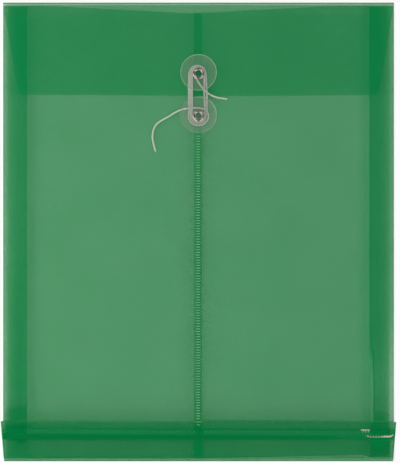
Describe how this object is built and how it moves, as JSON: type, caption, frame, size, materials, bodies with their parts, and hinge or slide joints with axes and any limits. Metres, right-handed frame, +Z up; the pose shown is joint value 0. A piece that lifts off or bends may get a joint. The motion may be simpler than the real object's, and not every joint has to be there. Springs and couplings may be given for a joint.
{
  "type": "string tie envelope",
  "caption": "Flat clear-plastic document envelope with pleated sides, a folded block bottom and a hinged flap tied shut by string wound round disc buttons on eyelets.",
  "frame": {"origin": "on the table, under the middle of the envelope as it lies on its back", "axes": "+X to the right as seen from above, +Y towards the fold of the flap, +Z up out of the front"},
  "size_m": [0.257, 0.2984, 0.006],
  "materials": {
    "film": "fine matte grain, translucent green film",
    "disc_plastic": "clear, lightly frosted",
    "eyelet_metal": "bright nickel plate",
    "string": "twisted off-white cotton"
  },
  "bodies": {
    "back": {"back_panel": "film", "left_gusset_back": "film", "right_gusset_back": "film"},
    "front": {"front_left_panel": "film", "front_right_panel": "film", "left_gusset_front": "film", "right_gusset_front": "film", "lower_eyelet": "eyelet_metal"},
    "lower_disc": {"lower_disc": "disc_plastic"},
    "flap": {"flap_panel": "film", "upper_eyelet": "eyelet_metal", "string_winding": "string", "string_long_tail": "string", "string_short_tail": "string"},
    "upper_disc": {"upper_disc": "disc_plastic"},
    "base": {"base_lower_lip": "film", "base_upper_lip": "film", "left_corner_tuck": "film", "right_corner_tuck": "film"}
  },
  "joints": [
    {"name": "expand", "type": "hinge", "parent": "back", "child": "front", "pos_m": [0, 0.148, 0.00122], "axis": [-1, 0, 0], "range_deg": [0, 5]},
    {"name": "base_fold", "type": "hinge", "parent": "back", "child": "base", "pos_m": [0, -0.14772, 0.0015], "axis": [1, 0, 0], "range_deg": [0, 90]},
    {"name": "flap_fold", "type": "hinge", "parent": "front", "child": "flap", "pos_m": [0, 0.148, 0.00122], "axis": [-1, 0, 0], "range_deg": [0, 170], "deforming": ["string_winding", "string_long_tail", "string_short_tail"]},
    {"name": "upper_disc_turn", "type": "hinge", "parent": "flap", "child": "upper_disc", "pos_m": [0, 0.10362, 0.00515], "axis": [0, 0, 1], "continuous": true},
    {"name": "lower_disc_turn", "type": "hinge", "parent": "front", "child": "lower_disc", "pos_m": [0, 0.07612, 0.0045], "axis": [0, 0, 1], "continuous": true}
  ],
  "couplings": [
    {"joint": "base_fold", "follows": "expand", "ratio": 18}
  ]
}
